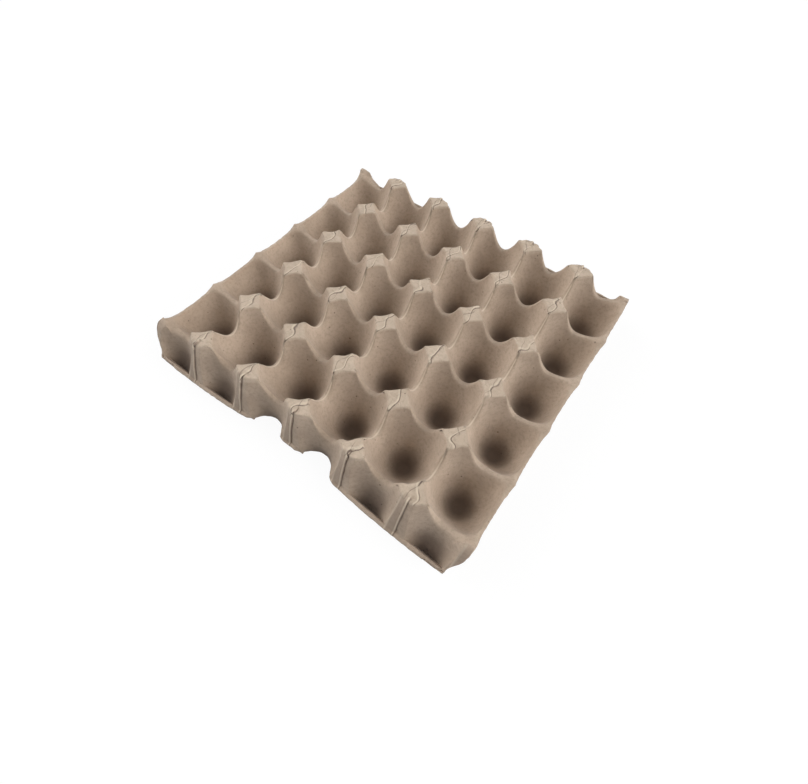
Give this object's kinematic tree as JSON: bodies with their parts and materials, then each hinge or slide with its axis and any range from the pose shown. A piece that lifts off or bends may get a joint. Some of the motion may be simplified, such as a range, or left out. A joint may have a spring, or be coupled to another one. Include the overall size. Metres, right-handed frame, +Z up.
{
  "type": "pulp egg tray",
  "caption": "Square moulded pulp tray of round egg cups between flat-topped posts, with sloping long edges, a narrow lip with notches and low wavy end walls.",
  "frame": {"origin": "middle of the footprint, on the ground under the cups", "axes": "+X along the two long edges that carry the lip, +Y across them away from the bowed edge, +Z up out of the cups"},
  "size_m": [0.2914, 0.289, 0.047],
  "materials": {
    "pulp": "rough undyed pulp"
  },
  "bodies": {
    "root": {"tray": "pulp"}
  },
  "joints": []
}
